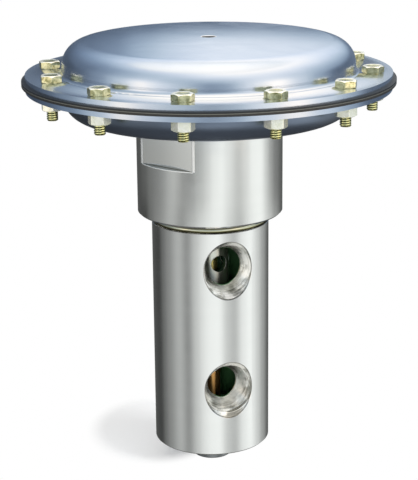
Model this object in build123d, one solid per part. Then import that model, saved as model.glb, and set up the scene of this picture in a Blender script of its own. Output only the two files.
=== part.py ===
"""Pressure reducing regulator with a dome-loaded diaphragm.

Origin at the middle of the foot, +Z up along the stem, pipe ports towards -Y. Sizes in millimetres.
Turning angles are measured round the axis from the direction of the ports, positive towards +X.
"""
from build123d import *
from math import acos, degrees, radians, sqrt, tan
import os

# Clearances
thread_gap = 0.05          # between the plain cylinders that stand for mating threads
running_gap = 0.05         # radial, between a sliding rod and its bush
seal_gap = 0.05            # between an O-ring and each wall of its groove
seat_gap = 0.3             # between pieces that only meet under load
stop_gap = 0.3             # left at the stop at full stroke

# Travel of the stem from closed to full open
travel = 4.0

# Barrel, turned from round bar
barrel_d = 68.8
barrel_length = 136.3
barrel_edge = 0.8
shoulder_edge = 0.3
neck_step = 4.5            # from the barrel's outside to its neck
neck_length = 25.0
neck_edge = 1.0
outlet_bore_d = 46.4
inlet_bore_d = 39.0
web_thickness = 13.0
seat_step_height = 4.2
seat_thread_d = 30.0
seat_hole_d = 23.2
inlet_headroom = 31.0      # from the lower port's axis up to the web

# Pipe ports, tapered pipe thread size 1
lower_port_height = 40.5   # above the barrel's bottom face
port_spacing = 73.1
port_bore_d = 29.4
port_mouth_d = 35.2
port_mouth_angle = 80.0
outlet_thread_reach = 6.6  # from the barrel's outside to the end of the tapped bore
inlet_thread_reach = 8.3
outlet_passage_d = 21.6
inlet_passage_d = 18.0
throat_overlap = 0.5       # how far the throat's cone reaches into the chamber

# Bottom plug with the foot that houses the rod's lower guide
foot_d = 23.2
foot_height = 12.3
foot_edge = 0.5
foot_floor = 3.4
plug_thread_d = 43.0
plug_thread_depth = 14.5
plug_thickness = 13.0
plug_relief = 0.6
spanner_hole_d = 4.0
spanner_hole_depth = 4.0
spanner_hole_pitch_d = 33.0
spanner_hole_count = 4
lower_bush_d = 14.0
lower_bush_length = 10.0
spring_pocket_d = 19.4
spring_pocket_depth = 8.0

# Collar with two wrench flats
collar_d = 85.0
collar_height = 56.8
collar_edge = 1.0
joint_bead_inset = 0.4     # from the barrel's outside to the bead
joint_bead_height = 3.0
joint_land_wall = 1.1
joint_ring_thickness = 5.4
socket_gap = 1.6
flats_width = 75.6
flats_height = 24.4
flats_angle = -57.6
flats_bevel = 0.7
hub_d = 40.0
hub_edge = 0.8
hub_rise = 0.4             # hub above the case nut
stem_bore_d = 16.0
stem_bush_length = 24.0
bush_flange_d = 22.0
bush_flange_thickness = 2.0
clip_thickness = 1.0
clip_width = 2.2
clip_groove_depth = 0.8
balance_hole_d = 4.0
balance_hole_pitch_d = 30.0
balance_hole_count = 3

# Diaphragm casing, two pressed pans
sheet = 3.2
case_wall_d = 168.0
flange_margin = 11.4       # from the bolt circle to the flange's edge
upper_case_depth = 19.3
crown_r = 1800.0
upper_corner_r = 13.5
lower_case_depth = 16.9
lower_corner_r = 13.0
case_base_r = 2.8
case_nut_d = 58.0
case_nut_thickness = 6.0
case_nut_slots = 4
case_nut_slot_width = 6.0
case_nut_slot_depth = 2.5

# Loading port in the crown
loading_port_d = 8.6
loading_boss_d = 20.0
loading_boss_thickness = 4.5

# Diaphragm and flange gasket
diaphragm_proud = 2.1      # beyond the flange's edge
diaphragm_thickness = 1.3
gasket_thickness = 1.3
roll_width = 12.0
roll_wall_gap = 0.7        # between the roll and the lower pan's wall
roll_plate_gap = 3.0       # between the roll and the plates
roll_depth = 7.5
roll_shoulder_r = 2.4
roll_bottom_r = 5.0

# Casing bolts
bolt_count = 12
bolt_phase = 3.4
bolt_d = 6.35
bolt_hole_d = 6.9
bolt_length = 21.4
bolt_head_width = 11.11
bolt_head_height = 4.1
head_wall_gap = 0.4        # between a head's corner and the foot of the upper pan's wall
nut_height = 6.7

# Diaphragm plates and what holds them on the stem
plate_thickness = 3.0
plate_rim_rise = 3.5
plate_rim_r = 5.0
plate_boss_d = 20.0
stem_washer_d = 24.0
stem_washer_thickness = 1.6
stem_nut_width = 13.0
stem_nut_height = 4.5
stem_end_rise = 1.5

# Stem and valve plug
stem_d = 8.3
stem_thread_d = 8.0
stem_collar_d = 16.0
plug_screw_d = 6.0
plug_screw_length = 12.0
rod_d = 10.6
rod_end_gap = 0.6          # left under the rod at full stroke
plug_head_d = 25.0
plug_head_height = 7.8
plug_cone_height = 7.0
disc_d = 22.4
disc_thickness = 3.0
disc_proud = 0.6
disc_retainer_d = 15.2
disc_retainer_thickness = 2.0

# Seat ring and seat cage
seat_flange_thickness = 3.8
seat_bore_d = 17.6
seat_lip_d = 19.6
seat_lip_width = 1.0
seat_lip_height = 0.8
seat_nose_drop = 1.3       # nose below the web
cage_d = 21.4
cage_wall = 2.8
cage_flange_thickness = 6.0
cage_spigot = 4.0
cage_hole_d = 10.2
cage_hole_count = 4
cage_hole_drop = 2.6       # below the upper port's axis
cage_hole_angle = 11.0

# Return spring
spring_d = 18.0
spring_wire_d = 1.8
spring_turns = 4.5
spring_length = 15.6
spring_seat_d = 18.4
spring_seat_thickness = 1.6

# O-rings
seal_cord_d = 2.6
seal_land = 5.2            # from the neck's end down to its O-ring
small_cord_d = 1.8
small_seal_land = 3.6
case_seal_d = 60.8

# Heights along the axis, from the foot up
barrel_bottom = foot_height
barrel_top = barrel_bottom + barrel_length
neck_top = barrel_top + neck_length
lower_port_z = barrel_bottom + lower_port_height
upper_port_z = lower_port_z + port_spacing
web_bottom = lower_port_z + inlet_headroom
web_top = web_bottom + web_thickness
seat_step = web_bottom + seat_step_height
plug_seat = barrel_bottom + plug_thread_depth
collar_bottom = barrel_top + joint_ring_thickness
collar_top = collar_bottom + collar_height
socket_top = neck_top + socket_gap
case_floor = collar_top + sheet
case_nut_top = case_floor + case_nut_thickness
hub_top = case_nut_top + hub_rise
lower_flange_bottom = collar_top + lower_case_depth
lower_flange_top = lower_flange_bottom + sheet
diaphragm_bottom = lower_flange_top + gasket_thickness
diaphragm_top = diaphragm_bottom + diaphragm_thickness
flange_top = diaphragm_top + sheet
crown_top = flange_top + upper_case_depth
loading_boss_top = crown_top - sheet - thread_gap
lower_plate_top = diaphragm_bottom - seat_gap
lower_plate_bottom = lower_plate_top - plate_thickness
upper_plate_bottom = diaphragm_top + seat_gap
upper_plate_top = upper_plate_bottom + plate_thickness
nut_seat = upper_plate_top + stem_washer_thickness
stem_top = nut_seat + stem_nut_height + stem_end_rise
stem_collar_bottom = hub_top + travel + stop_gap
seat_lip_z = web_bottom - seat_nose_drop - seat_lip_height
disc_top = seat_lip_z - seat_gap
disc_floor = disc_top - disc_thickness
head_top = disc_top - disc_proud
head_bottom = head_top - plug_head_height
cone_bottom = head_bottom - plug_cone_height
retainer_top = disc_top + disc_retainer_thickness
rod_bottom = foot_floor + travel + rod_end_gap
plug_top = barrel_bottom + plug_thickness
spring_floor = plug_top - spring_pocket_depth
spring_top = spring_floor + spring_length
spring_seat_top = spring_top + spring_seat_thickness
spring_clip_top = spring_seat_top + clip_thickness
cage_seat = seat_step + seat_flange_thickness
cage_top = socket_top + cage_spigot
clip_top = hub_top - clip_thickness
clip_bottom = clip_top - clip_thickness
bush_flange_bottom = clip_bottom - bush_flange_thickness
collar_seal_z = neck_top - seal_land
bottom_seal_z = plug_top - plug_relief - small_seal_land

# Diameters that follow from the fits
bush_bore_d = rod_d + 2 * running_gap
screw_hole_d = plug_screw_d + 2 * thread_gap
stem_hole_d = stem_thread_d + 2 * thread_gap
neck_d = barrel_d - 2 * neck_step
socket_d = neck_d + 2 * thread_gap
joint_bead_d = barrel_d - 2 * joint_bead_inset
joint_land_d = neck_d + 2 * joint_land_wall
seat_seal_d = (seat_thread_d + seat_hole_d) / 2

# Diameters of the casing that follow from its wall
bolt_circle_d = case_wall_d + 2 * (case_base_r + head_wall_gap + bolt_head_width / sqrt(3))
flange_d = bolt_circle_d + 2 * flange_margin
diaphragm_d = flange_d + 2 * diaphragm_proud
roll_outer_d = case_wall_d - 2 * (sheet + roll_wall_gap)
roll_inner_d = roll_outer_d - 2 * roll_width
plate_d = roll_inner_d - 2 * roll_plate_gap


def turned(*points):
    """Solid turned about Z from an outline of (radius, height) points."""
    return revolve(Plane.XZ * make_face(Polyline(*points, close=True)), Axis.Z)


def ring(outer_d, inner_d, low, high):
    """Plain ring between two heights."""
    return Pos(0, 0, low) * extrude(Circle(outer_d / 2) - Circle(inner_d / 2), high - low)


def rod(d, low, high):
    """Plain cylinder between two heights."""
    return Pos(0, 0, low) * extrude(Circle(d / 2), high - low)


def pressed_skin(skin, thickness, side):
    """Round pressing of even thickness on one side of a line drawn in (radius, height)."""
    outline = offset(skin, amount=thickness, side=side, closed=True)
    return revolve(Plane.XZ * make_face(outline), Axis.Z)


def pressed(path, radii, thickness, side):
    """Round pressing that follows a path of straight lines with bent corners."""
    return pressed_skin(FilletPolyline(*path, radius=radii), thickness, side)


def around(count, pitch_d, first_angle=0.0):
    """Places on a circle, the first one at an angle from the ports' direction."""
    return PolarLocations(pitch_d / 2, count, start_angle=first_angle - 90)


def towards(angle):
    """Turn that brings a piece built along +Z to a level direction."""
    return Rot(0, 0, angle) * Rot(90, 0, 0)


def hexagon(width, low, high):
    """Hexagonal prism between two heights, measured across its flats."""
    return Pos(0, 0, low) * extrude(RegularPolygon(width / 2, 6, major_radius=False), high - low)


def o_ring(mean_d, cord_d, z):
    return Pos(0, 0, z) * Torus(mean_d / 2, cord_d / 2)


def seal_groove(cord_d):
    """Side of the square groove that takes an O-ring."""
    return cord_d + 2 * seal_gap


def piston_seal(bore_d, cord_d):
    """Mean diameter of an O-ring that lies in a groove of a piece inside a bore."""
    return bore_d - cord_d - 2 * seal_gap


def piston_groove(bore_d, piston_d, cord_d, z):
    """Cutter of the groove for that O-ring, from the piston's outside inwards."""
    side = seal_groove(cord_d)
    floor_d = bore_d - 2 * side
    return ring(piston_d + 1, floor_d, z - side / 2, z + side / 2)


def bolt_holes(low, high):
    return around(bolt_count, bolt_circle_d, bolt_phase) * rod(bolt_hole_d, low, high)


def port_cutter(chamber_d, passage_d, thread_reach, z):
    """Conical mouth, tapped bore and conical throat of one pipe port, down to its chamber."""
    outside = barrel_d / 2
    bore_r = port_bore_d / 2
    mouth_r = port_mouth_d / 2
    passage_r = passage_d / 2
    flare = tan(radians(port_mouth_angle / 2))
    past = mouth_r
    cutter = turned(
        (0, 0),
        (passage_r, 0),
        (passage_r, chamber_d / 2 - throat_overlap),
        (bore_r, outside - thread_reach),
        (bore_r, outside - (mouth_r - bore_r) / flare),
        (mouth_r + past * flare, outside + past),
        (0, outside + past),
    )
    return Pos(0, 0, z) * towards(0) * cutter


def make_body():
    """Barrel: outlet chamber above the web, inlet chamber below it, neck for the collar on top."""
    outside = barrel_d / 2
    blank = turned(
        (plug_thread_d / 2, barrel_bottom),
        (outside - barrel_edge, barrel_bottom),
        (outside, barrel_bottom + barrel_edge),
        (outside, barrel_top - shoulder_edge),
        (outside - shoulder_edge, barrel_top),
        (neck_d / 2, barrel_top),
        (neck_d / 2, neck_top - neck_edge),
        (neck_d / 2 - neck_edge, neck_top),
        (outlet_bore_d / 2, neck_top),
        (outlet_bore_d / 2, web_top),
        (seat_thread_d / 2, web_top),
        (seat_thread_d / 2, seat_step),
        (seat_hole_d / 2, seat_step),
        (seat_hole_d / 2, web_bottom),
        (inlet_bore_d / 2, web_bottom),
        (inlet_bore_d / 2, plug_seat),
        (plug_thread_d / 2, plug_seat),
    )
    blank -= port_cutter(outlet_bore_d, outlet_passage_d, outlet_thread_reach, upper_port_z)
    blank -= port_cutter(inlet_bore_d, inlet_passage_d, inlet_thread_reach, lower_port_z)
    blank -= piston_groove(socket_d, neck_d, seal_cord_d, collar_seal_z)
    side = seal_groove(small_cord_d)
    blank -= ring(seat_seal_d + side, seat_seal_d - side, seat_step - side, seat_step + side)
    return blank


def make_bottom_plug():
    """Screwed plug whose foot carries the object and houses the rod's lower guide."""
    outside = plug_thread_d / 2 - thread_gap
    foot_r = foot_d / 2
    pocket_d = rod_d + 2 * seat_gap
    plug = turned(
        (0, 0),
        (foot_r - foot_edge, 0),
        (foot_r, foot_edge),
        (foot_r, barrel_bottom),
        (outside, barrel_bottom),
        (outside, plug_top - plug_relief),
        (outside - plug_relief, plug_top),
        (0, plug_top),
    )
    plug -= rod(pocket_d, foot_floor, plug_top)
    plug -= rod(lower_bush_d, spring_floor - lower_bush_length, spring_floor)
    plug -= rod(spring_pocket_d, spring_floor, plug_top)
    plug -= piston_groove(plug_thread_d, plug_thread_d, small_cord_d, bottom_seal_z)
    holes = around(spanner_hole_count, spanner_hole_pitch_d)
    plug -= holes * rod(spanner_hole_d, barrel_bottom, barrel_bottom + spanner_hole_depth)
    return plug


def make_collar():
    """Collar: socket for the barrel's neck below, guide bore for the stem, threaded hub on top."""
    outside = collar_d / 2
    socket_r = socket_d / 2
    flange_r = bush_flange_d / 2 + thread_gap
    collar = turned(
        (socket_r, collar_bottom),
        (outside - collar_edge, collar_bottom),
        (outside, collar_bottom + collar_edge),
        (outside, collar_top),
        (hub_d / 2, collar_top),
        (hub_d / 2, hub_top - hub_edge),
        (hub_d / 2 - hub_edge, hub_top),
        (flange_r, hub_top),
        (flange_r, bush_flange_bottom),
        (stem_bore_d / 2, bush_flange_bottom),
        (stem_bore_d / 2, socket_top),
        (socket_r, socket_top),
    )
    collar -= rod(cage_d + 2 * seat_gap, socket_top, cage_top + seat_gap)
    collar -= ring(2 * flange_r + 2 * clip_groove_depth, bush_flange_d, clip_bottom, clip_top)
    balance = around(balance_hole_count, balance_hole_pitch_d)
    collar -= balance * rod(balance_hole_d, socket_top, hub_top)
    side = seal_groove(seal_cord_d)
    collar -= ring(case_seal_d + side, case_seal_d - side, collar_top - side, collar_top)
    offcut = Box(collar_d, collar_d, flats_height, align=(Align.CENTER, Align.MIN, Align.MAX))
    for turn in (flats_angle, flats_angle + 180):
        collar -= Rot(0, 0, turn + 180) * Pos(0, flats_width / 2, collar_top) * offcut
    uprights = collar.edges().filter_by(Axis.Z)
    corners = uprights.filter_by(lambda edge: abs(edge.length - flats_height) < 0.01)
    return chamfer(corners, flats_bevel)


def make_joint_ring():
    """Brass ring between the barrel's shoulder and the collar: rounded bead below, land above."""
    bead = ring(joint_bead_d, socket_d, barrel_top, barrel_top + joint_bead_height)
    outer_edges = bead.edges().filter_by(GeomType.CIRCLE).sort_by(SortBy.RADIUS)[-2:]
    bead = fillet(outer_edges, joint_bead_height * 0.45)
    return bead + ring(joint_land_d, socket_d, barrel_top + joint_bead_height, collar_bottom)


def make_upper_case():
    """Upper pan: shallow domed crown, rolled shoulder, upright wall and flange."""
    wall = case_wall_d / 2
    shoulder_x = wall - upper_corner_r
    reach = crown_r - upper_corner_r
    crown_centre = crown_top - crown_r
    shoulder_z = crown_centre + sqrt(reach**2 - shoulder_x**2)
    shoulder_turn = degrees(acos(shoulder_x / reach))
    crown = CenterArc((0, crown_centre), crown_r, 90, shoulder_turn - 90)
    shoulder = CenterArc((shoulder_x, shoulder_z), upper_corner_r, shoulder_turn, -shoulder_turn)
    foot = FilletPolyline(
        (wall, shoulder_z),
        (wall, flange_top),
        (flange_d / 2, flange_top),
        radius=case_base_r,
    )
    pan = pressed_skin(crown + shoulder + foot, sheet, Side.RIGHT)
    pan -= rod(loading_port_d, loading_boss_top, crown_top)
    return pan - bolt_holes(diaphragm_top, flange_top)


def make_lower_case():
    wall = case_wall_d / 2
    path = [
        (hub_d / 2 + seat_gap, collar_top),
        (wall, collar_top),
        (wall, lower_flange_bottom),
        (flange_d / 2, lower_flange_bottom),
    ]
    pan = pressed(path, [lower_corner_r, case_base_r], sheet, Side.LEFT)
    return pan - bolt_holes(lower_flange_bottom, lower_flange_top)


def make_diaphragm():
    """Rubber disc with one roll between the plates and the casing wall."""
    roll_floor = diaphragm_bottom - roll_depth
    path = [
        (plate_boss_d / 2 + seat_gap, diaphragm_bottom),
        (roll_inner_d / 2, diaphragm_bottom),
        (roll_inner_d / 2, roll_floor),
        (roll_outer_d / 2, roll_floor),
        (roll_outer_d / 2, diaphragm_bottom),
        (diaphragm_d / 2, diaphragm_bottom),
    ]
    radii = [roll_shoulder_r, roll_bottom_r, roll_bottom_r, roll_shoulder_r]
    disc = pressed(path, radii, diaphragm_thickness, Side.LEFT)
    return disc - bolt_holes(diaphragm_bottom, diaphragm_top)


def make_flange_gasket():
    inner_d = case_wall_d + 2 * case_base_r
    flat = ring(diaphragm_d, inner_d, lower_flange_top, diaphragm_bottom)
    return flat - bolt_holes(lower_flange_top, diaphragm_bottom)


def make_case_bolts():
    head = hexagon(bolt_head_width, flange_top, flange_top + bolt_head_height)
    bolt = head + rod(bolt_d, flange_top - bolt_length, flange_top)
    return Compound(around(bolt_count, bolt_circle_d, bolt_phase) * bolt)


def make_case_nuts():
    nut = hexagon(bolt_head_width, lower_flange_bottom - nut_height, lower_flange_bottom)
    nut -= rod(bolt_d + 2 * thread_gap, lower_flange_bottom - nut_height, lower_flange_bottom)
    return Compound(around(bolt_count, bolt_circle_d, bolt_phase) * nut)


def make_case_nut():
    """Slotted ring nut that clamps the lower pan on the collar."""
    nut = ring(case_nut_d, hub_d + 2 * thread_gap, case_floor, case_nut_top)
    slot = Box(case_nut_slot_width, case_nut_d, case_nut_slot_depth,
               align=(Align.CENTER, Align.MIN, Align.MAX))
    slot_floor = hub_d / 2 + (case_nut_d - hub_d) / 4
    for turn in range(case_nut_slots):
        nut -= Rot(0, 0, turn * 360 / case_nut_slots) * Pos(0, slot_floor, case_nut_top) * slot
    return nut


def make_loading_boss():
    boss_bottom = loading_boss_top - loading_boss_thickness
    return ring(loading_boss_d, loading_port_d, boss_bottom, loading_boss_top)


def make_stem_bush():
    inner_r = stem_d / 2 + running_gap
    return turned(
        (inner_r, bush_flange_bottom - stem_bush_length),
        (stem_bore_d / 2, bush_flange_bottom - stem_bush_length),
        (stem_bore_d / 2, bush_flange_bottom),
        (bush_flange_d / 2, bush_flange_bottom),
        (bush_flange_d / 2, clip_bottom),
        (inner_r, clip_bottom),
    )


def open_clip(outer_d, inner_d, low, high, gap):
    """Retaining ring with the gap that lets it spring into its groove."""
    notch = Box(gap, outer_d, high - low, align=(Align.CENTER, Align.MIN, Align.MIN))
    return ring(outer_d, inner_d, low, high) - Pos(0, 0, low) * notch


def make_bush_clip():
    outer_d = bush_flange_d + 2 * clip_groove_depth
    return open_clip(outer_d, outer_d - 2 * clip_width, clip_bottom, clip_top, clip_width * 2)


def make_stem():
    """Brass stem: screw end for the plug, guided shank, stop collar, threaded end for the plates."""
    shank_r = stem_d / 2
    screw_r = plug_screw_d / 2
    end_r = stem_thread_d / 2
    return turned(
        (0, disc_floor - plug_screw_length),
        (screw_r, disc_floor - plug_screw_length),
        (screw_r, retainer_top),
        (shank_r, retainer_top),
        (shank_r, stem_collar_bottom),
        (stem_collar_d / 2, stem_collar_bottom),
        (stem_collar_d / 2, lower_plate_bottom),
        (end_r, lower_plate_bottom),
        (end_r, stem_top),
        (0, stem_top),
    )


def make_valve_plug():
    """Plug head with the pocket of the soft disc, and the rod down to the guide in the foot."""
    rod_r = rod_d / 2
    head_r = plug_head_d / 2
    plug = turned(
        (0, rod_bottom),
        (rod_r, rod_bottom),
        (rod_r, cone_bottom),
        (head_r, head_bottom),
        (head_r, head_top),
        (0, head_top),
    )
    plug -= rod(disc_d + 2 * seal_gap, disc_floor, head_top)
    screw_floor = disc_floor - plug_screw_length - seat_gap
    plug -= rod(plug_screw_d + 2 * thread_gap, screw_floor, disc_floor)
    return plug - ring(rod_d, rod_d - 2 * clip_groove_depth, spring_seat_top, spring_clip_top)


def make_spring_clip():
    inner_d = rod_d - 2 * clip_groove_depth
    return open_clip(inner_d + 2 * clip_width, inner_d, spring_seat_top, spring_clip_top, clip_width)


def make_plate(face, away, side):
    """Pressed diaphragm plate: its face lies on the rubber and its rim turns away from it."""
    rim_r = plate_d / 2
    rim_end = face + away * (plate_rim_r + plate_rim_rise)
    path = [(stem_hole_d / 2, face), (rim_r, face), (rim_r, rim_end)]
    return pressed(path, [plate_rim_r], plate_thickness, side)


def make_lower_plate():
    """Lower plate with the boss that goes through the rubber and carries the upper plate."""
    plate = make_plate(lower_plate_top, -1, Side.RIGHT)
    return plate + ring(plate_boss_d, stem_hole_d, lower_plate_top, upper_plate_bottom)


def make_upper_plate():
    return make_plate(upper_plate_bottom, 1, Side.LEFT)


def make_stem_nut():
    nut = hexagon(stem_nut_width, nut_seat, nut_seat + stem_nut_height)
    return nut - rod(stem_thread_d + 2 * thread_gap, nut_seat, nut_seat + stem_nut_height)


def make_seat_ring():
    """Seat: flange on the web's step, nose through the web, narrow lip that meets the soft disc."""
    bore_r = seat_bore_d / 2
    lip_r = seat_lip_d / 2
    nose_r = seat_hole_d / 2 - thread_gap
    nose_bottom = web_bottom - seat_nose_drop
    return turned(
        (bore_r, seat_lip_z),
        (bore_r + seat_lip_width / 2, seat_lip_z),
        (lip_r + seat_lip_width / 2, nose_bottom),
        (nose_r, nose_bottom),
        (nose_r, seat_step),
        (seat_thread_d / 2 - thread_gap, seat_step),
        (seat_thread_d / 2 - thread_gap, cage_seat),
        (bore_r, cage_seat),
    )


def make_seat_cage():
    """Tube over the seat: it clamps the seat ring and lets the flow out through cross holes."""
    cage_r = cage_d / 2
    bore_r = cage_r - cage_wall
    flange_r = seat_thread_d / 2 - thread_gap
    cage = turned(
        (bore_r, cage_seat),
        (flange_r, cage_seat),
        (flange_r, cage_seat + cage_flange_thickness),
        (cage_r, cage_seat + cage_flange_thickness),
        (cage_r, cage_top),
        (bore_r, cage_top),
    )
    drill = rod(cage_hole_d, 0, cage_d)
    for turn in range(cage_hole_count):
        angle = cage_hole_angle + turn * 360 / cage_hole_count
        cage -= Pos(0, 0, upper_port_z - cage_hole_drop) * towards(angle) * drill
    return cage


def make_return_spring():
    """Coil round the rod, from the floor of the plug's pocket up to the spring seat."""
    mean_r = (spring_d - spring_wire_d) / 2
    height = spring_length - spring_wire_d - 2 * seal_gap
    first = spring_floor + spring_wire_d / 2 + seal_gap
    path = Pos(0, 0, first) * Helix(height / spring_turns, height, mean_r)
    return sweep(Plane(path @ 0, z_dir=path % 0) * Circle(spring_wire_d / 2), path)


nodes = {
    "body": make_body(),
    "bottom_plug": make_bottom_plug(),
    "lower_bush": ring(lower_bush_d, bush_bore_d, spring_floor - lower_bush_length, spring_floor),
    "bottom_seal": o_ring(piston_seal(plug_thread_d, small_cord_d), small_cord_d, bottom_seal_z),
    "collar": make_collar(),
    "joint_ring": make_joint_ring(),
    "collar_seal": o_ring(piston_seal(socket_d, seal_cord_d), seal_cord_d, collar_seal_z),
    "lower_case": make_lower_case(),
    "upper_case": make_upper_case(),
    "case_seal": o_ring(case_seal_d, seal_cord_d, collar_top - seal_gap - seal_cord_d / 2),
    "case_nut": make_case_nut(),
    "loading_boss": make_loading_boss(),
    "flange_gasket": make_flange_gasket(),
    "diaphragm": make_diaphragm(),
    "case_bolts": make_case_bolts(),
    "case_nuts": make_case_nuts(),
    "stem_bush": make_stem_bush(),
    "bush_clip": make_bush_clip(),
    "seat_ring": make_seat_ring(),
    "seat_seal": o_ring(seat_seal_d, small_cord_d, seat_step - seal_gap - small_cord_d / 2),
    "seat_cage": make_seat_cage(),
    "stem": make_stem(),
    "lower_plate": make_lower_plate(),
    "upper_plate": make_upper_plate(),
    "stem_washer": ring(stem_washer_d, stem_hole_d, upper_plate_top, nut_seat),
    "stem_nut": make_stem_nut(),
    "valve_plug": make_valve_plug(),
    "seat_disc": ring(disc_d, screw_hole_d, disc_floor, disc_top),
    "disc_retainer": ring(disc_retainer_d, screw_hole_d, disc_top, retainer_top),
    "return_spring": make_return_spring(),
    "spring_seat": ring(spring_seat_d, rod_d + 2 * thread_gap, spring_top, spring_seat_top),
    "spring_clip": make_spring_clip(),
}

os.makedirs("parts", exist_ok=True)
for node, shape in nodes.items():
    export_step(shape, f"parts/{node}.step")
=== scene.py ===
from math import atan2, cos, hypot, pi, radians, sin, tan

import bmesh
import bpy
from mathutils import Matrix, Vector


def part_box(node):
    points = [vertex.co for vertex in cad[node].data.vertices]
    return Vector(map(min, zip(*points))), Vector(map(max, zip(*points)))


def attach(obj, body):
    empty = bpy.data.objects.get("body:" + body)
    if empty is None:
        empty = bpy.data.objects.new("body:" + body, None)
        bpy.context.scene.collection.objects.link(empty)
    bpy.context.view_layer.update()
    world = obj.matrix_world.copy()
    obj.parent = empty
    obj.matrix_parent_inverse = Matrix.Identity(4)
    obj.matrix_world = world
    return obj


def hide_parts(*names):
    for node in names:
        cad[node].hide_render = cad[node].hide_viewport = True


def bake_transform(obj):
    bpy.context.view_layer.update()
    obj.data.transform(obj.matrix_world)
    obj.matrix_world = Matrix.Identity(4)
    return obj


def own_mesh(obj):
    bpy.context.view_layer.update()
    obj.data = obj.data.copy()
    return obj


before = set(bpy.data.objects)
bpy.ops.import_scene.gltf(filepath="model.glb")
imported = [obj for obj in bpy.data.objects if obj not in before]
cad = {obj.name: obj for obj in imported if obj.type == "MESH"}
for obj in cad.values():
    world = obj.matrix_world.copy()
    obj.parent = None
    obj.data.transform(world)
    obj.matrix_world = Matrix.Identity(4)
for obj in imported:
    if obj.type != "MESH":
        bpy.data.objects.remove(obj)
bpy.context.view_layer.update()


# The view
# The regulator is looked at from a little to the left of its ports and from above the casing,
# through a long lens. The picture is 418 wide and 480 high.
mm = 0.001
stand_off = 851.6 * mm
eye_height = 382.3 * mm
camera_turn = radians(-18.3)
camera_tilt = radians(73.823)
camera_aside = radians(0.056)
camera_roll = radians(-0.55)
lens = bpy.data.cameras.new("studio_lens")
lens.lens = 112.3
lens.sensor_width = 36
lens.clip_start = 0.05
lens.clip_end = 60
camera = bpy.data.objects.new("studio_camera", lens)
bpy.context.scene.collection.objects.link(camera)
bpy.context.scene.camera = camera
bpy.context.scene.view_settings.view_transform = "Standard"
camera.matrix_world = (
    Matrix.Rotation(camera_turn, 4, "Z")
    @ Matrix.Translation((0, -stand_off, eye_height))
    @ Matrix.Rotation(camera_aside, 4, "Z")
    @ Matrix.Rotation(camera_tilt, 4, "X")
    @ Matrix.Rotation(camera_roll, 4, "Z")
)


# The studio
# A white paper floor inside a round light tent: bright panels in front and on the right, grey
# cloth on the left, dark flags behind, and soft far lamps from above, the right, left and front.
def step(tree, kind, sockets=None, **settings):
    """One node of a finish, with its settings and what goes into its sockets."""
    made = tree.nodes.new("ShaderNode" + kind)
    for name, value in settings.items():
        setattr(made, name, value)
    for key, value in (sockets or {}).items():
        if isinstance(value, bpy.types.NodeSocket):
            tree.links.new(value, made.inputs[key])
        else:
            made.inputs[key].default_value = value
    return made


def figure(tree, operation, *values, clamp=False):
    """A sum, product or other figure from up to three values."""
    sockets = dict(enumerate(values))
    return step(tree, "Math", sockets, operation=operation, use_clamp=clamp).outputs[0]


def vector(tree, operation, *values):
    """A length, a share along a direction, or a new place, from one or two places."""
    made = step(tree, "VectorMath", dict(enumerate(values)), operation=operation)
    return made.outputs["Value" if operation in ("LENGTH", "DOT_PRODUCT") else "Vector"]


def rising(tree, value, low, high, first=0.0, last=1.0, **settings):
    """Figure that goes from first to last while a value goes from low to high."""
    return step(tree, "MapRange", {"Value": value, 1: low, 2: high, 3: first, 4: last}, **settings).outputs[0]


def mixed(tree, share, first, second, **settings):
    """Colour that goes from the first to the second with a share from 0 to 1."""
    return step(tree, "Mix", {"Factor": share, 6: first, 7: second}, data_type="RGBA", **settings).outputs[2]


def scale_of(tree, value, stops, interpolation="LINEAR"):
    """Colour read from a value along a row of (place, colour) stops."""
    ramp = step(tree, "ValToRGB", {"Fac": value})
    ramp.color_ramp.interpolation = interpolation
    points = ramp.color_ramp.elements
    while len(points) < len(stops):
        points.new(0.5)
    for point, (place, colour) in zip(points, stops):
        point.position = place
        point.color = (*colour, 1)
    return ramp.outputs["Color"]


def grey(level):
    return (level, level, level)


white = (1, 1, 1, 1)
air = bpy.data.worlds.new("studio_air")
bpy.context.scene.world = air
air.use_nodes = True
tree = air.node_tree
tree.nodes.clear()
rise = step(tree, "SeparateXYZ", {"Vector": step(tree, "TexCoord").outputs["Generated"]}).outputs["Z"]
rise = figure(tree, "MULTIPLY_ADD", rise, 0.5, 0.5)
dark_flag = (0.045, 0.050, 0.065)
sky = scale_of(tree, rise, [
    (0.0, grey(0.22)), (0.10, grey(0.14)), (0.19, dark_flag), (0.30, dark_flag), (0.42, grey(0.30)),
    (0.6, grey(0.60)), (0.8, grey(0.95)), (0.90, (1.12, 1.08, 1.00)), (1.0, (1.52, 1.38, 1.22)),
], "EASE")
backdrop = mixed(tree, step(tree, "LightPath").outputs["Is Camera Ray"], sky, white)
glow = step(tree, "Background", {"Color": backdrop, "Strength": 1.0})
tree.links.new(glow.outputs[0], step(tree, "OutputWorld").inputs["Surface"])


def panel_row(tree, bearing, panels):
    """Brightness round the tent, from (turn from the camera to the right, level) places."""
    return scale_of(tree, bearing, [(0.5 + turn / 360, grey(level)) for turn, level in panels], "EASE")


def staged(name, points, faces, finish):
    """A piece of the studio, which isn't part of the regulator."""
    mesh = bpy.data.meshes.new(name)
    mesh.from_pydata(points, [], faces)
    mesh.materials.append(finish)
    piece = bpy.data.objects.new(name, mesh)
    bpy.context.scene.collection.objects.link(piece)
    piece.rotation_euler.z = camera_turn
    return piece


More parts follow.
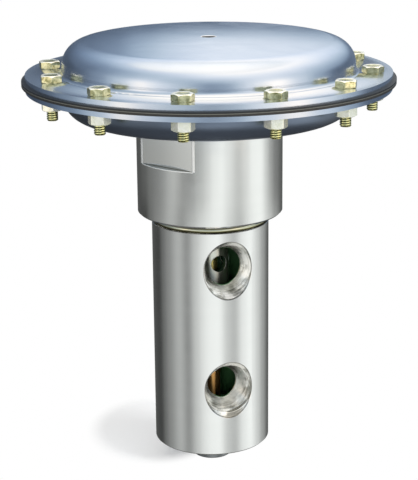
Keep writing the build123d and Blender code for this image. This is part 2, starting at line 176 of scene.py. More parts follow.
tent_cloth = bpy.data.materials.new("tent_cloth")
tent_cloth.use_nodes = True
tree = tent_cloth.node_tree
tree.nodes.clear()
spot = step(tree, "SeparateXYZ", {"Vector": step(tree, "TexCoord").outputs["Object"]}).outputs
ahead = figure(tree, "MULTIPLY", spot["Y"], -1.0)
bearing = figure(tree, "MULTIPLY_ADD", figure(tree, "ARCTAN2", spot["X"], ahead), 0.5 / pi, 0.5)
lower_panels = panel_row(tree, bearing, [
    (-180, 0.75), (-165, 0.10), (-120, 0.06), (-105, 0.18), (-90, 0.30), (-64, 0.54), (-46, 0.31), (-27, 0.70),
    (-14, 0.96), (-2, 1.08), (14, 1.12), (32, 0.70), (46, 0.57), (66, 1.00), (82, 1.15), (106, 0.72), (120, 0.43),
    (150, 0.12), (165, 0.10), (180, 0.75),
])
collar_panels = panel_row(tree, bearing, [
    (-180, 0.75), (-165, 0.09), (-145, 0.09), (-121, 0.13), (-103, 0.21), (-89, 0.25), (-76, 0.32), (-64, 0.50),
    (-57, 0.58), (-50, 0.50), (-40, 0.35), (-30, 0.32), (-22, 0.42), (-13, 0.55), (-4, 0.76), (6, 1.02), (18, 1.12),
    (27, 0.96), (44, 0.65), (57, 0.84), (68, 1.10), (84, 1.14), (98, 0.72), (106, 0.45), (122, 0.24), (150, 0.12),
    (165, 0.10), (180, 0.75),
])
middle_panels = panel_row(tree, bearing, [
    (-180, 0.17), (-163, 0.12), (-130, 0.09), (-110, 0.15), (-88, 0.31), (-66, 0.74), (-50, 1.30), (-32, 0.90),
    (-20, 0.67), (2, 0.33), (12, 0.42), (30, 0.96), (50, 1.42), (68, 0.84), (88, 0.45), (107, 0.16),
    (130, 0.16), (152, 0.20), (180, 0.17),
])
back_edge_panels = panel_row(tree, bearing, [
    (-180, 0.99), (-177, 0.86), (-174, 0.60), (-171, 0.30), (-168, 0.20), (-150, 0.14), (-110, 0.18), (-90, 0.33),
    (-70, 0.66), (-50, 1.10), (-25, 0.68), (2, 0.44), (12, 0.56), (30, 0.92), (50, 1.15), (70, 0.78), (90, 0.50),
    (110, 0.38), (130, 0.37), (150, 0.52), (160, 0.62), (166, 0.70), (170, 0.90), (174, 1.02), (180, 0.99),
])
upper_panels = panel_row(tree, bearing, [
    (-180, 0.95), (-176, 0.78), (-170, 0.38), (-160, 0.27), (-130, 0.22), (-105, 0.22), (-85, 0.34), (-70, 0.52),
    (-48, 0.74), (-12, 0.62), (2, 0.66), (42, 0.96), (70, 0.80), (92, 0.62), (110, 0.57), (130, 0.64),
    (150, 0.84), (165, 0.94), (180, 0.95),
])
high_panels = panel_row(tree, bearing, [
    (-180, 1.12), (-172, 0.95), (-150, 0.56), (-130, 0.45), (-108, 0.38), (-90, 0.42), (-50, 0.66), (-30, 0.78),
    (2, 0.98), (30, 1.08), (70, 1.05), (92, 0.95), (110, 1.00), (150, 1.12), (180, 1.12),
])
roof_panels = panel_row(tree, bearing, [
    (-180, 1.24), (-150, 0.97), (-110, 0.76), (-70, 0.84), (-30, 0.95), (-8, 1.12), (12, 1.26), (50, 1.32),
    (160, 1.34), (180, 1.24),
])


def hung_over(first, second, low, high):
    """The second cloth of the tent takes over from the first between two heights."""
    return mixed(tree, rising(tree, spot["Z"], low, high), first, second)


upper_light = hung_over(middle_panels, back_edge_panels, 312 * mm, 378 * mm)
upper_light = hung_over(upper_light, upper_panels, 372 * mm, 500 * mm)
upper_light = hung_over(upper_light, high_panels, 500 * mm, 740 * mm)
upper_light = hung_over(upper_light, roof_panels, 740 * mm, 1040 * mm)
cool = scale_of(tree, figure(tree, "DIVIDE", upper_light, 1.4), [
    (0.12, (0.70, 0.93, 1.30)), (0.29, (0.77, 0.975, 1.21)), (0.48, (0.87, 1.00, 1.11)), (0.64, (0.95, 1.00, 1.06)),
    (0.75, (1.00, 1.005, 1.01)), (0.93, (1.12, 1.01, 0.90)),
])
upper_light = mixed(tree, 1.0, upper_light, cool, blend_type="MULTIPLY")
warm = (0.98, 1.012, 0.985, 1)
lower_light = hung_over(lower_panels, collar_panels, -20 * mm, 10 * mm)
lower_light = mixed(tree, 1.0, lower_light, warm, blend_type="MULTIPLY")
glow = step(tree, "Emission", {"Color": hung_over(lower_light, upper_light, 83 * mm, 100 * mm), "Strength": 1.0})
tree.links.new(glow.outputs[0], step(tree, "OutputMaterial").inputs["Surface"])
tent_r = 650 * mm
tent_low = -350 * mm
tent_high = 1200 * mm
tent_sides = 120
rim = [(tent_r * sin(2 * pi * k / tent_sides), -tent_r * cos(2 * pi * k / tent_sides)) for k in range(tent_sides)]
points = [(x, y, z) for z in (tent_low, tent_high) for x, y in rim]
faces = [(k, (k + 1) % tent_sides, tent_sides + (k + 1) % tent_sides, tent_sides + k) for k in range(tent_sides)]
tent = staged("light_tent", points, faces, tent_cloth)
# Only reflections show the tent: it lights nothing itself and throws no shadow.
tent.visible_camera = False
tent.visible_diffuse = False
tent.visible_transmission = False
tent.visible_shadow = False


def far_lamp(name, strength, width, towards):
    """A soft far lamp that shines from a place given to the right, back and up of the view."""
    lamp_data = bpy.data.lights.new(name, "SUN")
    lamp_data.energy = strength
    lamp_data.angle = radians(width)
    lamp = bpy.data.objects.new(name, lamp_data)
    bpy.context.scene.collection.objects.link(lamp)
    lamp.visible_glossy = False
    lamp.rotation_mode = "QUATERNION"
    lamp.rotation_quaternion = (Matrix.Rotation(camera_turn, 3, "Z") @ Vector(towards)).to_track_quat("Z", "Y")


far_lamp("high_lamp", 1.5, 24, (0.80, -0.46, 1.0))
far_lamp("right_lamp", 1.6, 12, (0.66, -0.75, 0.16))
far_lamp("left_lamp", 1.8, 16, (-0.66, -0.75, 0.24))
far_lamp("front_lamp", 0.8, 20, (-0.10, -0.96, 0.18))

paper_finish = bpy.data.materials.new("white_paper")
paper_finish.use_nodes = True
tree = paper_finish.node_tree
tree.nodes.clear()
# The camera sees plain white paper, and a soft shadow only near the foot.
shade_middle = (-36 * mm, 36 * mm, 0.0)
shade_stretch = (1.0, 0.77, 1.0)
shade_full, shade_end = 31 * mm, 45 * mm
from_shade = vector(tree, "SUBTRACT", step(tree, "TexCoord").outputs["Object"], shade_middle)
reach = vector(tree, "LENGTH", vector(tree, "MULTIPLY", from_shade, shade_stretch))
near = rising(tree, reach, shade_full, shade_end, 1.0, 0.0, interpolation_type="SMOOTHSTEP")
seen = step(tree, "LightPath").outputs["Is Camera Ray"]
unlit = step(tree, "BsdfDiffuse", {"Color": (0.55, 0.55, 0.55, 1)})
clear = step(tree, "Emission", {"Color": white, "Strength": 1.0})
part_lit = step(tree, "BsdfDiffuse", {"Color": (0.605, 0.62, 0.64, 1)})
part_clear = step(tree, "Emission", {"Color": white, "Strength": 0.19})
under = step(tree, "AddShader", {0: part_lit.outputs[0], 1: part_clear.outputs[0]})
shown = step(tree, "MixShader", {0: near, 1: clear.outputs[0], 2: under.outputs[0]})
paper_shader = step(tree, "MixShader", {0: seen, 1: unlit.outputs[0], 2: shown.outputs[0]})
tree.links.new(paper_shader.outputs[0], step(tree, "OutputMaterial").inputs["Surface"])
paper_half = 12
corners = [(x * paper_half, y * paper_half, 0) for x, y in ((-1, -1), (1, -1), (1, 1), (-1, 1))]
paper = staged("paper_floor", corners, [(0, 1, 2, 3)], paper_finish)
paper.visible_glossy = False


def effect(name, takes, gives):
    """An empty node group with named inputs and outputs, and the two nodes that reach them."""
    group = bpy.data.node_groups.new(name, "ShaderNodeTree")
    for label, kind, value in takes:
        group.interface.new_socket(label, in_out="INPUT", socket_type="NodeSocket" + kind).default_value = value
    for label, kind in gives:
        group.interface.new_socket(label, in_out="OUTPUT", socket_type="NodeSocket" + kind)
    return group, group.nodes.new("NodeGroupInput").outputs, group.nodes.new("NodeGroupOutput").inputs


def use_effect(tree, group, sockets):
    """Places a node group in a material with its own values."""
    made = tree.nodes.new("ShaderNodeGroup")
    made.node_tree = group
    for key, value in sockets.items():
        if isinstance(value, bpy.types.NodeSocket):
            tree.links.new(value, made.inputs[key])
        else:
            made.inputs[key].default_value = value
    return made.outputs


def shader_of(finish):
    return finish.node_tree.nodes["Principled BSDF"]


def blank_finish(name, metallic):
    """A new finish with its share of bare metal, and its node tree."""
    made = bpy.data.materials.new(name)
    made.use_nodes = True
    shader_of(made).inputs["Metallic"].default_value = metallic
    return made, made.node_tree


def lay_on(finish, colour, rough, height, strength, depth):
    """Feeds a finish its colour and gloss, and a fine relief from a height."""
    tree = finish.node_tree
    relief = step(tree, "Bump", {"Strength": strength, "Distance": depth, "Height": height})
    for label, value in (("Base Color", colour), ("Roughness", rough), ("Normal", relief.outputs[0])):
        tree.links.new(value, shader_of(finish).inputs[label])


def emboss(finish, height, strength=1.0, depth=1.0):
    """Adds a relief to the one that a finish has."""
    tree, socket = finish.node_tree, shader_of(finish).inputs["Normal"]
    relief = step(tree, "Bump", {"Strength": strength, "Distance": depth, "Height": height,
                                 "Normal": socket.links[0].from_socket})
    tree.links.new(relief.outputs[0], socket)


def coat_node(node, finish):
    """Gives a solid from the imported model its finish."""
    cad[node].data.materials.clear()
    cad[node].data.materials.append(finish)


def product(tree, first, *others):
    """Product of two or more values."""
    for value in others:
        first = figure(tree, "MULTIPLY", first, value)
    return first


def between(tree, value, low, high, soft):
    """Mask that is 1 between two figures, with soft edges."""
    return product(tree, rising(tree, value, low - soft, low), rising(tree, value, high, high + soft, 1.0, 0.0))


def places(tree):
    """Where a point lies: its distance from the stem's axis, its height, and its place in plan."""
    spot = step(tree, "TexCoord").outputs["Object"]
    plan = vector(tree, "MULTIPLY", spot, (1, 1, 0))
    return vector(tree, "LENGTH", plan), step(tree, "SeparateXYZ", {"Vector": spot}).outputs["Z"], plan


def paint_zone(finish, mask, colour, rough, metallic):
    """Lays another colour, gloss and share of bare metal over a finish where a mask is 1."""
    tree = finish.node_tree
    for label, value in (("Base Color", (*colour, 1)), ("Roughness", rough), ("Metallic", metallic)):
        socket = shader_of(finish).inputs[label]
        under = socket.links[0].from_socket if socket.is_linked else socket.default_value
        if label == "Base Color":
            over = mixed(tree, mask, under, value)
        else:
            over = step(tree, "Mix", {"Factor": mask, 2: under, 3: value}).outputs[0]
        tree.links.new(over, socket)


lathe_rings, given, out = effect(
    "lathe_rings",
    [("Pitch", "Float", 0.3 * mm), ("Drift", "Float", 6 * mm)],
    [("Height", "Float"), ("Tone", "Float")],
)
from_axis, height = places(lathe_rings)[:2]
along = figure(lathe_rings, "ADD", height, figure(lathe_rings, "MULTIPLY", from_axis, 0.83))
fine = step(lathe_rings, "TexNoise", {"W": figure(lathe_rings, "DIVIDE", along, given["Pitch"]), "Scale": 1.0,
                                       "Detail": 1.0}, noise_dimensions="1D").outputs["Fac"]
broad = step(lathe_rings, "TexNoise", {"W": figure(lathe_rings, "DIVIDE", along, given["Drift"]), "Scale": 1.0,
                                        "Detail": 2.0}, noise_dimensions="1D").outputs["Fac"]
tone = figure(lathe_rings, "MULTIPLY_ADD", broad, 0.6, figure(lathe_rings, "MULTIPLY", fine, 0.4))
lathe_rings.links.new(fine, out["Height"])
lathe_rings.links.new(tone, out["Tone"])

handling, given, out = effect(
    "handling",
    [("Size", "Float", 12 * mm), ("Seed", "Float", 0.0)],
    [("Smear", "Float"), ("Speck", "Float")],
)
shifted = vector(handling, "ADD", step(handling, "TexCoord").outputs["Object"], given["Seed"])
coarse = figure(handling, "DIVIDE", 1.0, given["Size"])
smear = step(handling, "TexNoise", {"Vector": shifted, "Scale": coarse, "Detail": 3.0, "Roughness": 0.55})
speck = step(handling, "TexNoise", {"Vector": shifted, "Scale": figure(handling, "MULTIPLY", coarse, 22.0),
                                    "Detail": 2.0})
handling.links.new(smear.outputs["Fac"], out["Smear"])
handling.links.new(speck.outputs["Fac"], out["Speck"])


def turned_finish(name, light, dark, sheen, seed, pitch=0.3 * mm, grain=0.5, grain_turn=0.0, metallic=1.0):
    """Turned metal: fine rings from the tool, drawn-out gloss, and faint uneven handling."""
    made, tree = blank_finish(name, metallic)
    rings = use_effect(tree, lathe_rings, {"Pitch": pitch, "Drift": pitch * 16})
    marks = use_effect(tree, handling, {"Size": 18 * mm, "Seed": seed})
    tone = figure(tree, "MULTIPLY_ADD", rings["Tone"], 0.55, figure(tree, "MULTIPLY", marks["Smear"], 0.45))
    colour = mixed(tree, tone, (*dark, 1), (*light, 1))
    rough = rising(tree, marks["Smear"], 0.3, 0.7, sheen - 0.03, sheen + 0.04)
    lay_on(made, colour, rough, rings["Height"], strength=0.25, depth=0.02 * mm)
    sockets = shader_of(made).inputs
    sockets["Anisotropic"].default_value = grain
    sockets["Anisotropic Rotation"].default_value = grain_turn
    around = step(tree, "Tangent", direction_type="RADIAL", axis="Z")
    tree.links.new(around.outputs[0], sockets["Tangent"])
    return made


barrel_steel = turned_finish("barrel_steel", grey(0.83), grey(0.77), 0.16, 0.0)
tree = barrel_steel.node_tree
from_axis, height, plan = places(tree)
skin_r = 34.2 * mm
tapped_r = 25 * mm
web_top = 90 * mm
over_all = 200 * mm
lower_chamber_r = 19.9 * mm
upper_chamber_r = 23.6 * mm
drill_feed = 0.55 * mm
below_skin = between(tree, from_axis, 0.0, skin_r, 0.1 * mm)
paint_zone(barrel_steel, below_skin, (0.97, 0.96, 0.91), 0.16, 0.62)
# A thin dark line just inside each port mouth's edge is painted shade.
rim_shade_line = between(tree, from_axis, skin_r - 0.5 * mm, skin_r - 0.1 * mm, 0.1 * mm)
paint_zone(barrel_steel, rim_shade_line, (0.20, 0.20, 0.18), 0.30, 0.9)
above_web = between(tree, height, web_top, over_all, 1 * mm)
# Deeper in the bores, inside the tapped thread, the wall is painted darker as shade, fully in the upper port and
# partly in the lower one.
deep_bore_shade = between(tree, from_axis, 0.0, tapped_r, 3 * mm)
deep_bore_shade = product(tree, deep_bore_shade, figure(tree, "MULTIPLY_ADD", above_web, 0.4, 0.6))
paint_zone(barrel_steel, deep_bore_shade, (0.76, 0.745, 0.68), 0.18, 0.88)
along_port = step(tree, "SeparateXYZ", {"Vector": plan}).outputs["Y"]
drill_marks = step(tree, "TexNoise", {"W": figure(tree, "DIVIDE", along_port, drill_feed), "Scale": 1.0,
                                      "Detail": 2.0, "Roughness": 0.7}, noise_dimensions="1D").outputs["Fac"]
# Worn patches are duller. The drill's deeper marks are painted dark as shade in their grooves, more strongly in the
# worn patches.
worn = use_effect(tree, handling, {"Size": 11 * mm, "Seed": 5.9})["Smear"]
dull_patch = product(tree, rising(tree, worn, 0.44, 0.62, 0.0, 0.85), below_skin,
                     figure(tree, "MULTIPLY_ADD", above_web, 0.25, 0.75))
paint_zone(barrel_steel, dull_patch, (0.40, 0.40, 0.35), 0.24, 0.95)
shaded_drill_marks = product(tree, rising(tree, drill_marks, 0.46, 0.58), rising(tree, worn, 0.46, 0.60, 0.15, 1.0),
                     below_skin)
paint_zone(barrel_steel, shaded_drill_marks, (0.14, 0.135, 0.11), 0.26, 0.9)
emboss(barrel_steel, drill_marks, strength=product(tree, below_skin, 0.5), depth=0.12 * mm)
# The chamber walls are painted a dark dull green as shade.
chamber_r = figure(tree, "MULTIPLY_ADD", above_web, upper_chamber_r - lower_chamber_r, lower_chamber_r)
shaded_chamber = figure(tree, "LESS_THAN", from_axis, chamber_r)
paint_zone(barrel_steel, shaded_chamber, (0.030, 0.085, 0.032), 0.50, 0.0)
coat_node("body", barrel_steel)


# Pipe threads
# Both ports are tapped with a tapered pipe thread of 11.5 turns to the inch. Its crests show as
# thin bright arcs inside the mouths.
def skin(name, points, faces, finish, body, smooth=40):
    """A piece from its points and faces, smooth except across sharp corners, on its body if one is named."""
    mesh = bpy.data.meshes.new(name)
    mesh.from_pydata(points, [], faces)
    work = bmesh.new()
    work.from_mesh(mesh)
    bmesh.ops.recalc_face_normals(work, faces=work.faces)
    work.to_mesh(mesh)
    work.free()
    mesh.shade_smooth()
    mesh.set_sharp_from_angle(angle=radians(smooth))
    mesh.materials.append(finish)
    piece = bpy.data.objects.new(name, mesh)
    bpy.context.scene.collection.objects.link(piece)
    if body:
        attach(piece, body)
    return piece


def sleeve(rows, count, closed=True):
    """Faces that join rings of points, one ring after another, and the first to the last if closed."""
    faces = []
    total = len(rows)
    for i in range(total if closed else total - 1):
        here, there = i * count, (i + 1) % total * count
        for k in range(count):
            n = (k + 1) % count
            faces.append((here + k, here + n, there + n, there + k))
    return faces


def thread_ring(wall_r, depth, pitch, start, length, count, steps=9):
    """Rings of a thread that stands on a bore's wall: (angle, radius, place along the axis)."""
    rows = []
    run_out = 0.4 * pitch
    total = int(round(length / pitch * steps))
    for i in range(total + 1):
        along = length * i / total
        fade = max(0.0, min(1.0, along / run_out, (length - along) / run_out))
        ring = []
        for k in range(count):
            phase = (along / pitch - k / count) % 1.0
            crest = 1 - abs(2 * phase - 1)
            ring.append((2 * pi * k / count, wall_r - depth * crest * fade, start + along))
        rows.append(ring)
    for place in (start + length, start):
        rows.append([(2 * pi * k / count, wall_r + 0.3 * mm, place) for k in range(count)])
    return rows


port_bore_r = 14.7 * mm
port_thread_depth = 0.8 * mm
port_thread_pitch = 2.209 * mm
thread_mouth = 30.94 * mm
outlet_height, outlet_thread_end = 125.9 * mm, 27.8 * mm
inlet_height, inlet_thread_end = 52.8 * mm, 26.1 * mm
port_sides = 72
for name, height, inner_end in (("outlet_thread", outlet_height, outlet_thread_end),
                                ("inlet_thread", inlet_height, inlet_thread_end)):
    rows = thread_ring(port_bore_r, port_thread_depth, port_thread_pitch, inner_end, thread_mouth - inner_end,
                       port_sides)
    points = [(r * cos(turn), -y, height + r * sin(turn)) for row in rows for turn, r, y in row]
    ridge = skin(name, points, sleeve(rows, port_sides), barrel_steel, "housing", 25)


# Bottom plug and foot
# A darker steel plug screws into the barrel from below. Its foot carries the regulator, and it
# houses the lower guide, which is turned from bronze and pressed in.
plug_steel = turned_finish("plug_steel", (0.30, 0.31, 0.32), (0.20, 0.21, 0.22), 0.30, 0.3)
coat_node("bottom_plug", plug_steel)
guide_bronze = turned_finish("guide_bronze", (0.72, 0.50, 0.28), (0.56, 0.36, 0.18), 0.30, 0.7)
coat_node("lower_bush", guide_bronze)


# Seals
# Four moulded rings of black rubber seal the bottom plug, the seat, the collar and the casing.
# They lie squeezed in turned grooves.
def rubber_finish(name, colour, sheen, seed):
    """Black moulded rubber: dull, slightly uneven, with a dusting in its grain."""
    made, tree = blank_finish(name, 0.0)
    marks = use_effect(tree, handling, {"Size": 6 * mm, "Seed": seed})
    light = tuple(min(1.0, c * 2.1) for c in colour)
    shade = mixed(tree, marks["Smear"], (*colour, 1), (*light, 1))
    rough = rising(tree, marks["Speck"], 0.3, 0.7, sheen - 0.06, sheen + 0.06)
    lay_on(made, shade, rough, marks["Speck"], strength=0.3, depth=0.05 * mm)
    return made


seal_rubber = rubber_finish("seal_rubber", (0.012, 0.012, 0.013), 0.42, 1.0)
for ring_seal in ("bottom_seal", "collar_seal", "case_seal", "seat_seal"):
    coat_node(ring_seal, seal_rubber)


# Collar
# The collar is turned from larger steel bar and screwed on the barrel's neck. Two flats for a
# wrench are milled on it, and it houses the stem's upper guide of bronze.
collar_steel = turned_finish("collar_steel", (0.83, 0.83, 0.825), (0.76, 0.76, 0.755), 0.15, 0.5)
tree = collar_steel.node_tree
from_axis, height, plan = places(tree)
collar_r = 42.5 * mm
flat_half = 37.8 * mm
ledge = 186.4 * mm
collar_top = 215 * mm
flats_turn = radians(-57.6)
to_flat = (sin(flats_turn), -cos(flats_turn), 0)
along_flat = (cos(flats_turn), sin(flats_turn), 0)
flat_bend = -1.79
flat_tilt = -0.06
flat_reach = figure(tree, "ABSOLUTE", vector(tree, "DOT_PRODUCT", plan, to_flat))
# Narrow strips along the flats' upright edges and just under the ledge are painted pale and less metallic as
# highlights.
upright = product(tree, between(tree, from_axis, collar_r - 0.48 * mm, collar_r - 0.04 * mm, 0.02 * mm),
                  between(tree, height, ledge, collar_top, 0.1 * mm))
under_ledge = product(tree, between(tree, height, ledge - 0.35 * mm, ledge, 0.15 * mm),
                      figure(tree, "GREATER_THAN", flat_reach, flat_half + 0.2 * mm))
painted_highlight = figure(tree, "MAXIMUM", upright, under_ledge)
# A dark line on the ledge face is painted shade in its inner corner.
ledge_shade = product(tree, between(tree, height, ledge - 0.1 * mm, ledge + 0.2 * mm, 0.05 * mm),
                    figure(tree, "LESS_THAN", from_axis, collar_r - 0.6 * mm))
on_flat = product(tree, between(tree, flat_reach, flat_half - 0.06 * mm, flat_half + 0.06 * mm, 0.03 * mm),
                  figure(tree, "LESS_THAN", from_axis, collar_r - 0.55 * mm),
                  figure(tree, "GREATER_THAN", height, ledge - 1 * mm))
# The flats are painted lighter than the turned surface, as painted light.
paint_zone(collar_steel, on_flat, (0.97, 0.96, 0.94), 0.15, 1.0)
paint_zone(collar_steel, painted_highlight, (0.93, 0.93, 0.91), 0.35, 0.80)
paint_zone(collar_steel, ledge_shade, (0.27, 0.25, 0.20), 0.30, 1.0)
# The milled flat stands out a little in its middle, which spreads the light across it.
across = vector(tree, "DOT_PRODUCT", plan, along_flat)
crown = figure(tree, "MULTIPLY_ADD", product(tree, across, across), flat_bend, product(tree, across, flat_tilt))
emboss(collar_steel, product(tree, crown, on_flat))
coat_node("collar", collar_steel)
coat_node("stem_bush", guide_bronze)


# Joint ring
# A rounded ring, turned from brass, fills the gap between the barrel's shoulder and the collar.
# Above and below its bead the ring is painted dark as shade and dark reflection, and the bead's middle keeps the
# bright brass.
joint_brass = turned_finish("joint_brass", (0.86, 0.84, 0.66), (0.62, 0.60, 0.42), 0.09, 0.9, 0.4 * mm)
tree = joint_brass.node_tree
low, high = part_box("joint_ring")
bead_low, bead_high = (low.z + share * (high.z - low.z) for share in (0.30, 0.74))
bead_middle = between(tree, places(tree)[1], bead_low, bead_high, 0.3 * mm)
shaded_ring_ends = figure(tree, "SUBTRACT", 1.0, bead_middle)
paint_zone(joint_brass, shaded_ring_ends, (0.22, 0.21, 0.10), 0.16, 1.0)
coat_node("joint_ring", joint_brass)


# Casing pans
# Two pans are pressed from steel sheet and zinc plated. The plating is bluish and a little
# cloudy, with a soft sheen and faint drawing marks from the press.
plating, given, out = effect(
    "plating",
    [("Base", "Color", (0.6, 0.65, 0.72, 1)), ("Cool", "Color", (0.45, 0.5, 0.65, 1)),
     ("Cloud", "Float", 30 * mm), ("Amount", "Float", 0.5)],
    [("Color", "Color"), ("Sheen", "Float"), ("Height", "Float")],
)
spot = step(plating, "TexCoord").outputs["Object"]
coarse = figure(plating, "DIVIDE", 1.0, given["Cloud"])
cloud = step(plating, "TexNoise", {"Vector": spot, "Scale": coarse, "Detail": 4.0, "Roughness": 0.6,
                                   "Distortion": 0.6}).outputs["Fac"]
grain = step(plating, "TexNoise", {"Vector": spot, "Scale": figure(plating, "MULTIPLY", coarse, 40.0),
                                   "Detail": 2.0}).outputs["Fac"]
share = rising(plating, cloud, 0.35, 0.65, 0.0, given["Amount"])
plating.links.new(mixed(plating, share, given["Base"], given["Cool"]), out["Color"])
plating.links.new(cloud, out["Sheen"])
plating.links.new(grain, out["Height"])


def plated_finish(name, base, cool, cloud_size, amount, sheen, metallic=1.0):
    """Zinc plating: drifting tint, uneven gloss and a fine grain."""
    made, tree = blank_finish(name, metallic)
    values = {"Base": (*base, 1), "Cool": (*cool, 1), "Cloud": cloud_size, "Amount": amount}
    layer = use_effect(tree, plating, values)
    rough = rising(tree, layer["Sheen"], 0.3, 0.7, sheen - 0.04, sheen + 0.05)
    lay_on(made, layer["Color"], rough, layer["Height"], strength=0.12, depth=0.04 * mm)
    return made


pan_tints = (0.66, 0.74, 0.86), (0.60, 0.69, 0.83)
draw_in, draw_out = 74 * mm, 84 * mm
flange_in, flange_beyond = 84 * mm, 130 * mm
clamp_in, clamp_full = 86 * mm, 90 * mm
dish_end = 103 * mm
dish_width = 17 * mm
dish_bend = 20.0
crown_hole_r = 4.5 * mm
pan_zinc = plated_finish("pan_zinc", *pan_tints, 35 * mm, 0.7, 0.14)
tree = pan_zinc.node_tree
from_axis = places(tree)[0]
clamped = rising(tree, from_axis, clamp_in, clamp_full, 0.0, 0.04)
drawn = between(tree, from_axis, draw_in, draw_out, 4 * mm)
dulled = figure(tree, "MULTIPLY_ADD", drawn, 0.06, clamped)
flange = between(tree, from_axis, flange_in, flange_beyond, 6 * mm)
paint_zone(pan_zinc, flange, (0.72, 0.765, 0.83), 0.17, 1.0)
# The bolts pull the flange into a slight dish, which bends what it reflects.
dish = figure(tree, "MINIMUM", figure(tree, "SUBTRACT", dish_end, from_axis, clamp=True), dish_width)
emboss(pan_zinc, product(tree, dish, dish, dish_bend))
gloss = shader_of(pan_zinc).inputs["Roughness"]
tree.links.new(figure(tree, "ADD", gloss.links[0].from_socket, dulled), gloss)
# The edge of the crown's hole is painted pale and mostly non-metallic as painted light on its far wall.
painted_hole_light = figure(tree, "LESS_THAN", from_axis, crown_hole_r)
paint_zone(pan_zinc, painted_hole_light, (0.95, 0.95, 0.93), 0.28, 0.30)
coat_node("upper_case", pan_zinc)
under_zinc = plated_finish("under_zinc", *pan_tints, 35 * mm, 0.7, 0.14)
tree = under_zinc.node_tree
from_axis = places(tree)[0]
# The lower pan is painted darker as shade: somewhat on its flange, much more on its bowl below the flange.
flange = between(tree, from_axis, flange_in, flange_beyond, 6 * mm)
paint_zone(under_zinc, flange, (0.60, 0.66, 0.75), 0.17, 1.0)
shaded_bowl = between(tree, from_axis, 0.0, clamp_in, 1 * mm)
paint_zone(under_zinc, shaded_bowl, (0.19, 0.23, 0.305), 0.38, 1.0)
coat_node("lower_case", under_zinc)


# Inner rings
# Plain steel rings that stay inside: the slotted nut that clamps the lower pan on the collar, the
# seat ring, the soft disc's retainer, the spring's washer, and two clips. They are turned or stamped.
inner_steel = turned_finish("inner_steel", (0.70, 0.71, 0.72), (0.60, 0.61, 0.62), 0.28, 1.3)
for node in ("case_nut", "bush_clip", "seat_ring", "disc_retainer", "spring_seat", "spring_clip"):
    coat_node(node, inner_steel)


# Loading boss
# The steel boss for the loading gas is welded under the crown and tapped. Its thread goes on
# through the hole in the pan's crown.
boss_steel = turned_finish("boss_steel", (0.16, 0.16, 0.17), (0.10, 0.10, 0.11), 0.40, 1.5)
coat_node("loading_boss", boss_steel)
boss_bore_r = 4.3 * mm
boss_thread_depth = 0.35 * mm
boss_thread_pitch = 0.941 * mm
boss_sides = 48
low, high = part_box("loading_boss")
rows = thread_ring(boss_bore_r, boss_thread_depth, boss_thread_pitch, low.z + 0.3 * mm,
                   high.z - low.z + 2.6 * mm, boss_sides)
points = [(r * cos(turn), r * sin(turn), z) for row in rows for turn, r, z in row]
ridge = skin("loading_thread", points, sleeve(rows, boss_sides), boss_steel, "housing", 25)


# Gasket and diaphragm
# A fibre-filled gasket and the rubber diaphragm are pinched between the flanges and stand out
# about 2 mm. Their two edges meet in a thin pale line of fabric ply.
gasket_rubber = rubber_finish("gasket_rubber", (0.009, 0.0085, 0.0075), 0.48, 2.0)
coat_node("flange_gasket", gasket_rubber)
diaphragm_rubber = rubber_finish("diaphragm_rubber", (0.005, 0.0055, 0.006), 0.44, 3.0)


def rounded(corners, steps=7):
    """Line through (radius, height, corner radius) places, with each corner rounded."""
    line = []
    for index, (r, z, bend) in enumerate(corners):
        if bend == 0:
            line.append((r, z))
            continue
        corner = Vector((r, z))
        to_last = (Vector(corners[index - 1][:2]) - corner).normalized()
        to_next = (Vector(corners[index + 1][:2]) - corner).normalized()
        centre = corner + bend * (to_last + to_next)
        for k in range(steps + 1):
            swing = pi / 2 * k / steps
            spot = centre - bend * (sin(swing) * to_last + cos(swing) * to_next)
            line.append((spot.x, spot.y))
    return line


def lathed(name, outline, finish, body, count=128):
    """A piece turned round the stem's axis from its closed outline."""
    turns = [2 * pi * k / count for k in range(count)]
    points = [(r * cos(turn), r * sin(turn), z) for r, z in outline for turn in turns]
    return skin(name, points, sleeve(outline, count), finish, body)


low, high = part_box("diaphragm")
rubber_thickness = 1.3 * mm
ply_thickness = 0.25 * mm
flat_z = high.z - rubber_thickness
roll_z = low.z
roll_top = roll_z + rubber_thickness
stem_hole_r = 10.4 * mm
roll_in, roll_out = 68.1 * mm, 80.1 * mm
roll_middle = (roll_in + roll_out) / 2
shoulder, bottom_bend = 2.4 * mm, 5.0 * mm
inner_bend = bottom_bend - rubber_thickness
outer_bend = shoulder + rubber_thickness
held_wall = roll_out - rubber_thickness
moving_wall = roll_in + rubber_thickness
tree = diaphragm_rubber.node_tree
ply = between(tree, places(tree)[1], flat_z, flat_z + ply_thickness, 0.1 * mm)
paint_zone(diaphragm_rubber, ply, (0.10, 0.10, 0.085), 0.40, 0.0)
held_line = rounded([
    (roll_middle, roll_z, 0), (roll_out, roll_z, bottom_bend), (roll_out, flat_z, shoulder), (high.x, flat_z, 0),
    (high.x, high.z, 0), (held_wall, high.z, outer_bend), (held_wall, roll_top, inner_bend),
    (roll_middle, roll_top, 0),
])
held = lathed("diaphragm_rim", held_line, diaphragm_rubber, None)
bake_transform(held)
moving_line = rounded([
    (stem_hole_r, flat_z, 0), (roll_in, flat_z, shoulder), (roll_in, roll_z, bottom_bend), (roll_middle, roll_z, 0),
    (roll_middle, roll_top, 0), (moving_wall, roll_top, inner_bend), (moving_wall, high.z, outer_bend),
    (stem_hole_r, high.z, 0),
])
moving = lathed("diaphragm_middle", moving_line, diaphragm_rubber, "valve_stem")
for rubber in (held, moving):
    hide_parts("diaphragm")


# Casing bolts
# Twelve hexagon bolts of steel, quarter inch with 20 threads to the inch, plated with yellow
# zinc. Their heads are cold formed, so the tops are dished and the corners cut back.
yellow_zinc = plated_finish("yellow_zinc", (0.96, 0.89, 0.53), (0.30, 0.29, 0.12), 3 * mm, 1.0, 0.20, 0.93)
